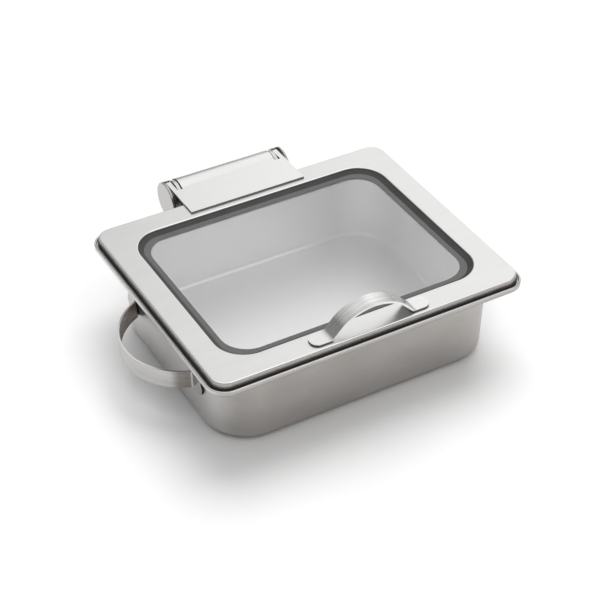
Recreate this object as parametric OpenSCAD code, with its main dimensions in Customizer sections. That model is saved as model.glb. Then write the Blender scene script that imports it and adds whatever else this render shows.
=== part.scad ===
// Half-size chafing dish: a drawn steel vessel with a damped, glazed lid.
// Millimetres, +Z up. The origin is the middle of the face that rests on the table,
// X runs along the long side and the lid's hinge is at the back, towards +Y.

/* [Vessel] */
// Height of the vessel from its underside to the top of its ledge
vessel_h = 87; // [70:0.5:140]
// Corner radius of the vessel wall at the ledge
vessel_r = 50; // [35:1:60]
// How far the wall leans in from the ledge down to the underside
wall_lean = 2.6; // [0.5:0.1:6]
// Outside radius of the bend between wall and floor
floor_bend_r = 8; // [3:0.5:12]
// Thickness of the vessel's steel sheet
vessel_sheet = 1.2; // [0.8:0.1:2]
// Width of the ledge from the rim's outer face to the vessel wall
ledge_w = 15.2; // [12:0.2:20]
// Height of the rim's bead above the ledge
bead_rise = 2.8; // [2:0.1:5]
// Thickness of the folded bead
bead_w = 2.4; // [1.6:0.1:3.2]
// How far the folded bead hangs below the top of the ledge
lip_drop = 2.7; // [2:0.1:5]

/* [Induction base] */
// Thickness of the plate bonded under the vessel
base_t = 1.5; // [1:0.1:5]
// Margin between the plate's edge and the start of the floor bend
base_margin = 4; // [1:0.5:20]

/* [Side handles] */
// Width of the strap, up the wall
side_strap_w = 20; // [14:0.5:26]
// Thickness of the strap
side_strap_t = 2; // [1.5:0.1:3]
// How far the loop stands out from the wall
side_reach = 43.6; // [36:0.2:50]
// Outer radius of the loop
side_loop_r = 67.2; // [58:0.2:72]
// Inside radius of the bend from loop to foot
side_bend_r = 4; // [2:0.5:6]
// Length of each foot along the wall past the bend
side_foot = 17.3; // [15:0.1:22]
// Height of the strap's middle above the table
side_z = 49.1; // [35:0.1:60]

/* [Lid frame] */
// Width of the lid
lid_w = 334; // [310:1:370]
// Depth of the lid
lid_d = 271.2; // [255:0.2:300]
// Corner radius of the lid
lid_r = 15.5; // [10:0.5:24]
// Thickness of the lid's steel sheet
lid_sheet = 1.2; // [0.8:0.1:1.6]
// Inside radius of the lid's bends
lid_bend_r = 0.3; // [0.2:0.1:0.8]
// Height of the lid's skirt
skirt_h = 8.5; // [7.5:0.1:12]
// Width of the lid's frame around the window
frame_w = 25.9; // [25:0.1:32]
// Corner radius of the window
window_r = 31.5; // [24:0.5:45]
// Depth of the flange turned down at the window
flange_h = 3.3; // [2.8:0.1:4.2]
// Gap between the lid's skirt and the rim's bead
rim_gap = 2.6; // [2.2:0.1:4]

/* [Glass and gasket] */
// Thickness of the glass
glass_t = 4; // [3:0.1:6]
// Depth of the glass below the lid's top
glass_drop = 5.7; // [5.2:0.1:7]
// Distance from the window's edge to the glass edge
glass_inset = 2.4; // [2:0.1:3.5]
// Width of the gasket's sloping part
gasket_slope = 5.1; // [4.5:0.1:7]
// Whole width of the gasket that shows
gasket_band = 10.1; // [8.5:0.1:13]
// Thickness of the gasket's lip on the glass
gasket_lip = 1.1; // [0.6:0.1:1.4]
// Corner radius of the glass that shows
view_r = 28; // [20:0.5:36]
// Thickness of the gasket under the glass
gasket_foot = 1.8; // [0.8:0.1:2.4]
// Width of the gasket and retainer under the glass, from the window's edge
under_lap = 5; // [4.5:0.1:6]

/* [Glass retainer] */
// Thickness of the retainer's sheet
retainer_sheet = 1.2; // [0.8:0.1:1.6]
// Distance from the window's edge to the line of studs
stud_line = 15.5; // [12:0.1:16.5]
// Edge of the retainer's flange beyond the line of studs
flange_edge = 4.4; // [4.2:0.1:5]

/* [Studs and nuts] */
// Radius of the lid's weld studs
stud_r = 2; // [1.5:0.1:2.4]
// Corner radius of their nuts
nut_r = 4.04; // [3.6:0.02:4.2]
// Height of their nuts
nut_h = 3.2; // [2:0.1:3.4]
// Length of a stud past its nut
stud_tail = 0.6; // [0.2:0.1:1]

/* [Lid seal] */
// Thickness of the seal on each side of the skirt
seal_lip = 1.2; // [0.8:0.1:1.5]
// Thickness of the seal below the skirt
seal_base = 0.8; // [0.6:0.05:2]
// How far the seal reaches up the skirt
seal_rise = 1; // [0.6:0.1:2.5]

/* [Lid handle] */
// Width of the handle's strap
grip_w = 17.6; // [17:0.2:21]
// Thickness of the handle's strap
grip_t = 2; // [1.5:0.1:3]
// Height of the handle above the lid
grip_rise = 26.5; // [24:0.5:36]
// Outer radius of the crown
crown_r = 53; // [50:1:80]
// Half angle of the crown
crown_angle = 33; // [20:1:40]
// Outer radius of the shoulders
shoulder_r = 35; // [14:0.5:45]
// Slope of the legs
leg_angle = 46; // [42:1:58]
// Inside radius of the bend from leg to foot
grip_bend_r = 6; // [2:0.5:10]
// Length of each foot past the bend
grip_foot = 16.6; // [16:0.1:24]
// Corner radius of the feet
grip_corner_r = 8; // [4:0.5:8]
// Distance from the lid's front edge to the strap's middle
grip_set = 12.9; // [12.2:0.1:13.8]

/* [Hinge leaf] */
// Width of the leaf
leaf_w = 132; // [110:1:150]
// Thickness of the leaf
leaf_t = 1.8; // [1.4:0.1:2.4]
// How far the leaf laps over the lid
leaf_lap = 18.6; // [16:0.2:22]
// Distance of the hinge axis behind the lid
hinge_reach = 36.2; // [35:0.2:50]
// Radius of the hinge barrel
barrel_r = 19.3; // [17:0.1:21]
// Height of the barrel's top above the leaf
barrel_rise = 2.4; // [1.6:0.1:4]
// Angle that the barrel's wall goes on round past its top
roll_angle = 260; // [200:5:270]
// Width of each ear beside the knuckles
ear_w = 5.1; // [3:0.1:7]
// How far the ears reach behind the hinge axis
ear_reach = 6; // [1:0.1:8]

/* [Hinge barrel] */
// Thickness of each hinge arm
arm_t = 3.7; // [3:0.1:8]
// How far each arm's ring lies below the face of the barrel
arm_drop = 1; // [0:0.1:1.6]
// Thickness of each end cap
cap_t = 2.4; // [1.6:0.1:5]
// Gap between the leaf's ears and the end caps
cap_gap = 1.9; // [1.2:0.1:3]
// Width of the groove beside each end cap
cap_groove = 1; // [0.4:0.1:1.1]
// Radius of the hinge pin
pin_r = 6; // [4:0.1:7]
// Length of each bush
bush_l = 7.8; // [5:0.1:12]
// Length of each damper housing
damper_l = 37; // [25:0.5:42]
// Wall of the damper housing
damper_wall = 3.4; // [2:0.1:4]

/* [Hinge bracket] */
// Thickness of the bracket's sheet
bracket_t = 2.5; // [2:0.1:4]
// Height of the bracket's back plate
bracket_h = 36; // [26:0.5:44]
// How far the bracket's flanges reach back from its plate
flange_reach = 21; // [19:0.5:25]
// Distance from the plate to the first arm screw
screw_set = 6.5; // [5.5:0.1:8]
// Distance between the two screws of an arm
screw_pitch = 10.5; // [9.6:0.1:12]
// Radius of an arm screw
screw_r = 2.5; // [2:0.1:3]
// Radius of an arm screw's head
screw_head_r = 4.4; // [3.6:0.1:4.6]
// Height of an arm screw's head
screw_head_h = 2.8; // [2:0.1:4]
// Corner radius of an arm screw's nut
screw_nut_r = 4.62; // [4:0.02:4.7]
// Height of an arm screw's nut
screw_nut_h = 4; // [3:0.1:5]

/* [Fits] */
// Clearance round a turning pin
run_fit = 0.06; // [0.02:0.01:0.1]
// Clearance round the fixed pin and in the threads
press_fit = 0.03; // [0.02:0.01:0.05]
// Clearance round fixed studs, screws and inserts
fix_fit = 0.1; // [0.05:0.01:0.2]
// Clearance beside the gasket and the retainer
ring_fit = 0.3; // [0.1:0.05:0.4]
// Clearance between the closed seal and the ledge
seal_gap = 0.2; // [0.2:0.05:0.5]
// Clearance between neighbouring knuckles
knuckle_gap = 1.2; // [0.4:0.1:1.6]
// Clearance behind the ears in the end caps
ear_gap = 0.8; // [0.3:0.1:1]

/* [Hidden] */
$fn = 96;

steel = "silver";
bright_steel = "gainsboro";
dark_steel = "dimgray";
clear_glass = "lightcyan";
glass_alpha = 0.35;
grey_rubber = "slategray";
black_rubber = "black";
bronze = "peru";

// Overlap that joins the stretches of one sheet
join = 1;
// Angle between the points along a strap's bend
arc_step = 2;
// Reach of a cutter past the face it cuts
cut = 1;

// Heights of the ledge and of the lid's top
z_ledge = base_t + vessel_h;
lid_rise = skirt_h + seal_base + seal_gap;
z_lid = z_ledge + lid_rise;

// Rim, vessel and window outlines, all from the lid's outline
rim_out = rim_gap + bead_w;
rim_w = lid_w + 2 * rim_out;
rim_d = lid_d + 2 * rim_out;
rim_r = lid_r + rim_out;
vessel_w = rim_w - 2 * ledge_w;
vessel_d = rim_d - 2 * ledge_w;
window_w = lid_w - 2 * frame_w;
window_d = lid_d - 2 * frame_w;
edge_r = lid_sheet + lid_bend_r;

// Points along an arc about c, from one angle to another
function arc_points(c, r, from, to) =
    let (steps = ceil(abs(to - from) / arc_step), turn = (to - from) / steps)
    [for (k = [0 : steps]) c + r * [cos(from + turn * k), sin(from + turn * k)]];

// Leaning wall: its angle, its face at a height and the bend at the floor
wall_tilt = atan(wall_lean / vessel_h);
function lean_at(h) = wall_lean * (1 - h / vessel_h);
function wall_r(h) = vessel_r - lean_at(h);
function side_wall_x(z) = vessel_w / 2 - lean_at(z - base_t);
function back_wall_y(z) = vessel_d / 2 - lean_at(z - base_t);
bend_x = wall_r(floor_bend_r) - floor_bend_r / cos(wall_tilt);

// Side handle: the bend that leads from the loop to the foot
loop_inset = side_loop_r - side_reach;
side_bend_x = side_strap_t + side_bend_r;
side_bend_y = sqrt(pow(side_loop_r + side_bend_r, 2) - pow(loop_inset + side_bend_x, 2));
side_arc = atan2(side_bend_y, loop_inset + side_bend_x);

// Lid handle: shoulder centre, leg length and foot bend in the strap's own plane
crown_y = grip_rise - crown_r;
shoulder_x = (crown_r - shoulder_r) * sin(crown_angle);
shoulder_y = crown_y + (crown_r - shoulder_r) * cos(crown_angle);
leg_top_x = shoulder_x + shoulder_r * sin(leg_angle);
leg_top_y = shoulder_y + shoulder_r * cos(leg_angle);
leg_l = (leg_top_y + grip_bend_r * cos(leg_angle) - grip_t - grip_bend_r) / sin(leg_angle);
grip_foot_x = leg_top_x + leg_l * cos(leg_angle) + grip_bend_r * sin(leg_angle);
grip_y = -lid_d / 2 + grip_set;

// Glass stack, as depths below the lid's top
glass_under = glass_drop + glass_t;
gasket_under = glass_under + gasket_foot;
retainer_under = gasket_under + retainer_sheet;
gasket_top = edge_r + lid_bend_r;
retainer_in = lid_sheet + ring_fit;
retainer_web = retainer_in + retainer_sheet;
retainer_flange = stud_line + flange_edge - retainer_in;
view_w = window_w - 2 * gasket_band;
view_d = window_d - 2 * gasket_band;

// Studs: the places along the line round the window, and the depth of the clamped sheets
stud_x = window_w / 2 + stud_line;
stud_y = window_d / 2 + stud_line;
grip_stud_x = grip_foot_x + grip_foot / 2;
retainer_stud_x = window_w / 3;
retainer_stud_y = window_d / 4;
leaf_stud_gap = leaf_w / 5;
leaf_stud_x = [for (k = [-1.5 : 1 : 1.5]) k * leaf_stud_gap];
clamped = lid_sheet + retainer_sheet;

// Hinge: the axis and the places along the barrel, from the middle outwards
hinge_y = lid_d / 2 + hinge_reach;
hinge_z = z_lid + leaf_t + barrel_rise - barrel_r;
cap_in = leaf_w / 2;
ear_in = cap_in - ear_w;
arm_out = ear_in - knuckle_gap;
arm_in = arm_out - arm_t;
roll_end = arm_in - knuckle_gap;
roll_in_r = barrel_r - leaf_t;
arm_ring_r = barrel_r - arm_drop;
pin_gap = 0.3;
cap_bevel = 0.5;
groove_r = roll_in_r - leaf_t;
cap_disc = cap_in + cap_gap;
neck_end = cap_disc - cap_groove;
pin_end = neck_end - pin_gap;

// Leaf: its underside above the axis, the end of its slots and the angle where it meets the barrel
leaf_low = barrel_r - barrel_rise - leaf_t;
slot_back = sqrt(pow(arm_ring_r + knuckle_gap, 2) - pow(leaf_low, 2));
meet_angle = 180 - asin(leaf_low / barrel_r);

// Dampers and bushes: from the ends of the roll inwards
bush_start = roll_end - fix_fit - bush_l;
damper_end = bush_start - ring_fit;
damper_start = damper_end - damper_l;
damper_r = roll_in_r - fix_fit;
cavity_r = damper_r - damper_wall;
rotor_gap = 0.4;

// Bracket: the back plate hangs just under the rim's folded bead
bracket_top = z_ledge - lip_drop - knuckle_gap;
bracket_low = bracket_top - bracket_h;
bracket_z = bracket_top - bracket_h / 2;
bracket_in = arm_in - bracket_t;
flange_y = back_wall_y(bracket_top) + bracket_t;
screw_y = [flange_y + screw_set, flange_y + screw_set + screw_pitch];
arm_low = bracket_z - screw_head_r - screw_r;

// Angles round the hinge axis where an arm's top and bottom edges meet its ring
arm_top_angle = 45;
arm_low_angle = 60;

module rounded_rect(w, d, r) {
    square([w - 2 * r, d], center = true);
    square([w, d - 2 * r], center = true);
    for (x = [-1, 1], y = [-1, 1])
        translate([x * (w / 2 - r), y * (d / 2 - r)]) circle(r);
}

// Carries a section round a rounded rectangle; x in the section is measured from the corner axis
module around(w, d, r) {
    half = [w / 2 - r, d / 2 - r];
    for (k = [0 : 3]) {
        reach = half[k % 2];
        run = half[(k + 1) % 2];
        rotate([0, 0, 90 * k]) translate([reach, run, 0]) {
            rotate_extrude(angle = 90) children();
            rotate([90, 0, 0]) linear_extrude(2 * run) children();
        }
    }
}

// Quarter of a bent sheet: outer radius r, thickness t, in the quadrant that starts at a
module bend_section(r, t, a) {
    rotate(a) intersection() {
        difference() {
            circle(r);
            circle(r - t);
        }
        square(r + cut);
    }
}

module hex_nut(r, h, bore) {
    difference() {
        cylinder(h = h, r = r, $fn = 6);
        translate([0, 0, -cut]) cylinder(h = h + 2 * cut, r = bore);
    }
}

// Place on the leaning side wall, with the wall's face as the plane x = 0
module on_side_wall(z) {
    translate([side_wall_x(z), 0, z]) rotate([0, wall_tilt, 0]) children();
}

// Frame whose z runs along the hinge axis, with x to the back and y up
module along_hinge() {
    translate([0, hinge_y, hinge_z]) rotate([90, 0, 90]) children();
}

module at_leaf_studs(z) {
    for (x = leaf_stud_x) translate([x, stud_y, z]) children();
}

module at_grip_studs(z) {
    for (x = [-1, 1]) translate([x * grip_stud_x, -stud_y, z]) children();
}

module at_retainer_studs(z) {
    for (x = [-1, 1], y = [-1, 1]) {
        translate([x * retainer_stud_x, y * stud_y, z]) children();
        translate([x * stud_x, y * retainer_stud_y, z]) children();
    }
}

module clamped_holes() {
    low = z_lid - clamped - cut;
    depth = clamped + 2 * cut;
    at_leaf_studs(low) cylinder(h = depth, r = stud_r + fix_fit);
    at_grip_studs(low) cylinder(h = depth, r = stud_r + fix_fit);
}

// Places of the arm screws on the right side, with z along the screw towards its nut
module at_arm_screws() {
    for (y = screw_y) translate([arm_out, y, bracket_z]) rotate([0, -90, 0]) children();
}

module screw_holes() {
    at_arm_screws() translate([0, 0, -cut])
        cylinder(h = arm_t + bracket_t + 2 * cut, r = screw_r + fix_fit);
}

module vessel_half(inset, top) {
    r = floor_bend_r - inset;
    polygon([
        [0, inset],
        [bend_x, inset],
        [bend_x + r * cos(wall_tilt), floor_bend_r - r * sin(wall_tilt)],
        [wall_r(top) - inset / cos(wall_tilt), top],
        [0, top]
    ]);
    translate([bend_x, floor_bend_r]) circle(r);
}

module vessel_form(inset, top) {
    around(vessel_w, vessel_d, vessel_r) vessel_half(inset, top);
    translate([vessel_r - vessel_w / 2, vessel_r - vessel_d / 2, inset])
        cube([vessel_w - 2 * vessel_r, vessel_d - 2 * vessel_r, top - inset]);
}

module bead_section() {
    r = bead_w / 2;
    translate([rim_r - r, 0]) {
        translate([-r, r - lip_drop]) square([bead_w, bead_rise + lip_drop - bead_w]);
        translate([0, bead_rise - r]) circle(r);
        translate([0, r - lip_drop]) circle(r);
    }
}

module pan_shell() {
    color(steel) translate([0, 0, base_t]) {
        difference() {
            vessel_form(0, vessel_h);
            vessel_form(vessel_sheet, vessel_h + cut);
        }
        translate([0, 0, vessel_h - vessel_sheet]) linear_extrude(vessel_sheet) difference() {
            rounded_rect(rim_w - bead_w, rim_d - bead_w, rim_r - bead_w / 2);
            rounded_rect(vessel_w - vessel_sheet, vessel_d - vessel_sheet, vessel_r - vessel_sheet / 2);
        }
        translate([0, 0, vessel_h]) around(rim_w, rim_d, rim_r) bead_section();
    }
}

module induction_base() {
    w = vessel_w - 2 * (vessel_r - bend_x + base_margin);
    d = vessel_d - 2 * (vessel_r - bend_x + base_margin);
    color(dark_steel) linear_extrude(base_t) rounded_rect(w, d, bend_x - base_margin);
}

// Plan of a side handle's loop and bends: the wall's face is x = 0
module side_plan() {
    loop = [-loop_inset, 0];
    near = [side_bend_x, -side_bend_y];
    far = [side_bend_x, side_bend_y];
    inner_r = side_bend_r + side_strap_t;
    polygon(concat(
        [[side_strap_t, -side_bend_y - join]],
        arc_points(near, side_bend_r, 180, 180 - side_arc),
        arc_points(loop, side_loop_r, -side_arc, side_arc),
        arc_points(far, side_bend_r, 180 + side_arc, 180),
        [[side_strap_t, side_bend_y + join], [0, side_bend_y + join]],
        arc_points(far, inner_r, 180, 180 + side_arc),
        arc_points(loop, side_loop_r - side_strap_t, side_arc, -side_arc),
        arc_points(near, inner_r, 180 - side_arc, 180),
        [[0, -side_bend_y - join]]
    ));
}

// Side handle: a strap bent into a loop, with a round-ended foot at each end
module side_handle() {
    end_r = side_strap_w / 2;
    color(steel) on_side_wall(side_z) {
        linear_extrude(side_strap_w, center = true) side_plan();
        for (y = [0, 1]) mirror([0, y, 0])
            rotate([90, 0, 90]) linear_extrude(side_strap_t) translate([side_bend_y, 0]) {
                translate([0, -end_r]) square([side_foot - end_r, side_strap_w]);
                translate([side_foot - end_r, 0]) circle(end_r);
            }
    }
}

module left_side_handle() { mirror([1, 0, 0]) side_handle(); }

module right_side_handle() { side_handle(); }

// Bracket: a back plate on the vessel's wall with a flange at each end
module hinge_bracket() {
    wall_top = back_wall_y(bracket_top);
    wall_low = back_wall_y(bracket_low);
    flange_end = flange_y + flange_reach;
    color(steel) difference() {
        union() {
            translate([-arm_in, 0, 0]) rotate([90, 0, 90]) linear_extrude(2 * arm_in) polygon([
                [wall_low, bracket_low],
                [wall_low + bracket_t, bracket_low],
                [wall_top + bracket_t, bracket_top],
                [wall_top, bracket_top]
            ]);
            for (x = [-arm_in, bracket_in])
                translate([x, 0, 0]) rotate([90, 0, 90]) linear_extrude(bracket_t) polygon([
                    [wall_low + bracket_t / 2, bracket_low],
                    [flange_end, arm_low],
                    [flange_end, bracket_top],
                    [wall_top + bracket_t / 2, bracket_top]
                ]);
        }
        screw_holes();
        mirror([1, 0, 0]) screw_holes();
    }
}

// Arm: bolted to the bracket under the rim, rising behind it to a ring on the hinge axis
module hinge_arm() {
    color(steel) difference() {
        union() {
            translate([arm_in, 0, 0]) rotate([90, 0, 90]) linear_extrude(arm_t) polygon([
                [flange_y, arm_low],
                [flange_y, bracket_top],
                [rim_d / 2 + bead_w, bracket_top],
                [hinge_y - arm_ring_r * cos(arm_top_angle), hinge_z + arm_ring_r * sin(arm_top_angle)],
                [hinge_y, hinge_z],
                [hinge_y - arm_ring_r * cos(arm_low_angle), hinge_z - arm_ring_r * sin(arm_low_angle)]
            ]);
            along_hinge() translate([0, 0, arm_in]) cylinder(h = arm_t, r = arm_ring_r);
        }
        along_hinge() cylinder(h = leaf_w, r = pin_r + press_fit);
        screw_holes();
    }
}

module left_hinge_arm() { mirror([1, 0, 0]) hinge_arm(); }

module right_hinge_arm() { hinge_arm(); }

module arm_screws() {
    shank = arm_t + bracket_t + screw_nut_h + stud_tail;
    color(bright_steel) for (x = [0, 1]) mirror([x, 0, 0]) at_arm_screws() {
        cylinder(h = shank, r = screw_r);
        translate([0, 0, -screw_head_h]) cylinder(h = screw_head_h, r = screw_head_r);
    }
}

module arm_nuts() {
    color(bright_steel) for (x = [0, 1]) mirror([x, 0, 0]) at_arm_screws()
        translate([0, 0, arm_t + bracket_t]) hex_nut(screw_nut_r, screw_nut_h, screw_r + press_fit);
}

module hinge_pin() {
    color(bright_steel) along_hinge() cylinder(h = 2 * pin_end, r = pin_r, center = true);
}

// Rotor: a drum on the fixed pin that shears the damper's grease
module damper_rotor() {
    start = damper_start + damper_wall + rotor_gap;
    run = damper_end - rotor_gap - start;
    color(dark_steel) along_hinge() translate([0, 0, start]) difference() {
        cylinder(h = run, r = cavity_r - rotor_gap);
        translate([0, 0, -cut]) cylinder(h = run + 2 * cut, r = pin_r + press_fit);
    }
}

module left_damper_rotor() { mirror([1, 0, 0]) damper_rotor(); }

module right_damper_rotor() { damper_rotor(); }

// Lid's outer edge: the top rolls over into the skirt
module lid_edge_section() {
    translate([lid_r - edge_r - join, z_lid - lid_sheet]) square([join, lid_sheet]);
    translate([lid_r - edge_r, z_lid - edge_r]) bend_section(edge_r, lid_sheet, 0);
    translate([lid_r - lid_sheet, z_lid - skirt_h]) square([lid_sheet, skirt_h - edge_r]);
}

// Window's edge: the top rolls down into a short flange
module window_edge_section() {
    translate([window_r + edge_r, z_lid - lid_sheet]) square([join, lid_sheet]);
    translate([window_r + edge_r, z_lid - edge_r]) bend_section(edge_r, lid_sheet, 90);
    translate([window_r, z_lid - flange_h]) square([lid_sheet, flange_h - edge_r]);
}

module lid_frame() {
    color(bright_steel) {
        difference() {
            translate([0, 0, z_lid - lid_sheet]) linear_extrude(lid_sheet) difference() {
                rounded_rect(lid_w - 2 * edge_r, lid_d - 2 * edge_r, lid_r - edge_r);
                rounded_rect(window_w + 2 * edge_r, window_d + 2 * edge_r, window_r + edge_r);
            }
            clamped_holes();
        }
        around(lid_w, lid_d, lid_r) lid_edge_section();
        around(window_w, window_d, window_r) window_edge_section();
    }
}

// Gasket: a sloping face inside the window, a slot for the glass and a shoulder under the flange
module gasket_section() {
    lip_top = glass_drop - gasket_lip;
    polygon([
        [window_r - fix_fit, z_lid - gasket_top],
        [window_r - gasket_slope, z_lid - lip_top],
        [window_r - gasket_slope - join, z_lid - lip_top],
        [window_r - gasket_slope - join, z_lid - glass_drop],
        [window_r - glass_inset, z_lid - glass_drop],
        [window_r - glass_inset, z_lid - glass_under],
        [window_r - under_lap, z_lid - glass_under],
        [window_r - under_lap, z_lid - gasket_under],
        [window_r + lid_sheet, z_lid - gasket_under],
        [window_r + lid_sheet, z_lid - flange_h],
        [window_r - fix_fit, z_lid - flange_h]
    ]);
}

module glass_gasket() {
    lip_in = gasket_slope - join / 2;
    color(grey_rubber) {
        around(window_w, window_d, window_r) gasket_section();
        translate([0, 0, z_lid - glass_drop]) linear_extrude(gasket_lip) difference() {
            rounded_rect(window_w - 2 * lip_in, window_d - 2 * lip_in, window_r - lip_in);
            rounded_rect(view_w, view_d, view_r);
        }
    }
}

module glass_pane() {
    gap = glass_inset + fix_fit;
    color(clear_glass, glass_alpha) translate([0, 0, z_lid - glass_under]) linear_extrude(glass_t)
        rounded_rect(window_w - 2 * gap, window_d - 2 * gap, window_r - gap);
}

// Retainer: a Z-shaped sheet that hangs from the lid and holds the gasket up
module retainer_section() {
    translate([window_r + retainer_in, z_lid - clamped]) square([retainer_flange, retainer_sheet]);
    translate([window_r + retainer_in, z_lid - retainer_under])
        square([retainer_sheet, retainer_under - lid_sheet]);
    translate([window_r - under_lap, z_lid - retainer_under])
        square([under_lap + retainer_web, retainer_sheet]);
}

module glass_retainer() {
    color(steel) difference() {
        around(window_w, window_d, window_r) retainer_section();
        clamped_holes();
        at_retainer_studs(z_lid - clamped - cut)
            cylinder(h = retainer_sheet + 2 * cut, r = stud_r + fix_fit);
    }
}

module retainer_studs() {
    run = retainer_sheet + nut_h + stud_tail;
    color(bright_steel) at_retainer_studs(z_lid - lid_sheet - run) cylinder(h = run, r = stud_r);
}

module retainer_nuts() {
    color(bright_steel) at_retainer_studs(z_lid - clamped - nut_h)
        hex_nut(nut_r, nut_h, stud_r + press_fit);
}

// Seal: a channel pushed over the skirt's lower edge
module seal_section() {
    difference() {
        translate([lid_r - lid_sheet - seal_lip, z_ledge + seal_gap])
            square([lid_sheet + 2 * seal_lip, seal_base + seal_rise]);
        translate([lid_r - lid_sheet - fix_fit, z_lid - skirt_h])
            square([lid_sheet + 2 * fix_fit, seal_rise + cut]);
    }
}

module lid_seal() {
    color(black_rubber) around(lid_w, lid_d, lid_r) seal_section();
}

// Half of the lid handle's side view, with x along the lid and y up
module grip_outline() {
    crown = [0, crown_y];
    shoulder = [shoulder_x, shoulder_y];
    foot = [grip_foot_x, grip_t + grip_bend_r];
    polygon(concat(
        arc_points(crown, crown_r, 90, 90 - crown_angle),
        arc_points(shoulder, shoulder_r, 90 - crown_angle, 90 - leg_angle),
        arc_points(foot, grip_bend_r, 270 - leg_angle, 270),
        [[grip_foot_x + join, grip_t], [grip_foot_x + join, 0]],
        arc_points(foot, grip_bend_r + grip_t, 270, 270 - leg_angle),
        arc_points(shoulder, shoulder_r - grip_t, 90 - leg_angle, 90 - crown_angle),
        arc_points(crown, crown_r - grip_t, 90 - crown_angle, 90)
    ));
}

module grip_foot_plan() {
    translate([0, -grip_w / 2]) square([grip_foot - grip_corner_r, grip_w]);
    translate([0, grip_corner_r - grip_w / 2]) square([grip_foot, grip_w - 2 * grip_corner_r]);
    for (y = [-1, 1])
        translate([grip_foot - grip_corner_r, y * (grip_w / 2 - grip_corner_r)]) circle(grip_corner_r);
}

module lid_handle() {
    color(bright_steel) translate([0, grip_y, z_lid]) {
        rotate([90, 0, 0]) linear_extrude(grip_w, center = true) {
            grip_outline();
            mirror([1, 0]) grip_outline();
        }
        for (x = [0, 1]) mirror([x, 0, 0])
            translate([grip_foot_x, 0, 0]) linear_extrude(grip_t) grip_foot_plan();
    }
}

module lid_handle_studs() {
    run = clamped + nut_h + stud_tail;
    color(bright_steel) at_grip_studs(z_lid - run) cylinder(h = run, r = stud_r);
}

module lid_handle_nuts() {
    color(bright_steel) at_grip_studs(z_lid - clamped - nut_h)
        hex_nut(nut_r, nut_h, stud_r + press_fit);
}

// Side view of the leaf's middle: the flat plate runs into a barrel that stands a little above it
module rolled_outline() {
    open_to = 450 - roll_angle;
    far = 3 * barrel_r;
    difference() {
        union() {
            translate([-slot_back - join, leaf_low]) square([slot_back + join, leaf_t]);
            difference() {
                circle(barrel_r);
                polygon([
                    [0, 0],
                    far * [cos(meet_angle), sin(meet_angle)],
                    far * [cos(open_to), sin(open_to)]
                ]);
            }
        }
        circle(roll_in_r);
    }
}

// Leaf: a plate on the lid whose middle rolls into the barrel, with a flat ear at each end
module hinge_leaf() {
    front = -hinge_reach - leaf_lap;
    color(bright_steel) along_hinge() {
        translate([front, leaf_low, -cap_in]) cube([-slot_back - front, leaf_t, leaf_w]);
        linear_extrude(2 * roll_end, center = true) rolled_outline();
        for (z = [-cap_in, ear_in]) translate([-slot_back - join, leaf_low, z])
            cube([slot_back + join + ear_reach, leaf_t, ear_w]);
    }
}

module leaf_studs() {
    run = clamped + nut_h + stud_tail;
    color(bright_steel) at_leaf_studs(z_lid - run) cylinder(h = run, r = stud_r);
}

module leaf_nuts() {
    color(bright_steel) at_leaf_studs(z_lid - clamped - nut_h)
        hex_nut(nut_r, nut_h, stud_r + press_fit);
}

// End cap: a bevelled disc, a groove and a neck notched for the leaf's ear
module end_cap() {
    color(bright_steel) along_hinge() difference() {
        union() {
            translate([0, 0, ear_in]) cylinder(h = neck_end - ear_in, r = barrel_r);
            translate([0, 0, ear_in]) cylinder(h = cap_disc - ear_in + cap_t / 2, r = groove_r);
            translate([0, 0, cap_disc]) cylinder(h = cap_t - cap_bevel, r = barrel_r);
            translate([0, 0, cap_disc + cap_t - cap_bevel])
                cylinder(h = cap_bevel, r1 = barrel_r, r2 = barrel_r - cap_bevel);
        }
        translate([-barrel_r, leaf_low, ear_in - cut])
            cube([barrel_r + ear_reach + ear_gap, barrel_r, cap_disc - ear_in + cut]);
        translate([0, 0, ear_in - cut]) cylinder(h = neck_end - ear_in + cut, r = pin_r + run_fit);
    }
}

module left_end_cap() { mirror([1, 0, 0]) end_cap(); }

module right_end_cap() { end_cap(); }

// Bush: carries the rolled leaf on the pin, just inside the arm
module bush() {
    color(bronze) along_hinge() translate([0, 0, bush_start]) difference() {
        cylinder(h = bush_l, r = damper_r);
        translate([0, 0, -cut]) cylinder(h = bush_l + 2 * cut, r = pin_r + run_fit);
    }
}

module left_bush() { mirror([1, 0, 0]) bush(); }

module right_bush() { bush(); }

// Damper housing: a cup pressed into the roll, with the rotor's drum inside
module damper_housing() {
    color(dark_steel) along_hinge() translate([0, 0, damper_start]) difference() {
        cylinder(h = damper_l, r = damper_r);
        translate([0, 0, damper_wall]) cylinder(h = damper_l, r = cavity_r);
        translate([0, 0, -cut]) cylinder(h = damper_l, r = pin_r + ring_fit);
    }
}

module left_damper_housing() { mirror([1, 0, 0]) damper_housing(); }

module right_damper_housing() { damper_housing(); }

pan_shell();
induction_base();
left_side_handle();
right_side_handle();
hinge_bracket();
left_hinge_arm();
right_hinge_arm();
arm_screws();
arm_nuts();
hinge_pin();
left_damper_rotor();
right_damper_rotor();
lid_frame();
glass_gasket();
glass_pane();
glass_retainer();
retainer_studs();
retainer_nuts();
lid_seal();
lid_handle();
lid_handle_studs();
lid_handle_nuts();
hinge_leaf();
leaf_studs();
leaf_nuts();
left_end_cap();
right_end_cap();
left_bush();
right_bush();
left_damper_housing();
right_damper_housing();
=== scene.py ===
# Looks of a half-size chafing dish: a drawn steel vessel under a damped lid with a glass window.
# Metres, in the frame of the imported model: origin on the table, X along the long side, hinge at +Y.
import math

import bmesh
import bpy
from mathutils import Matrix, Vector


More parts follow.
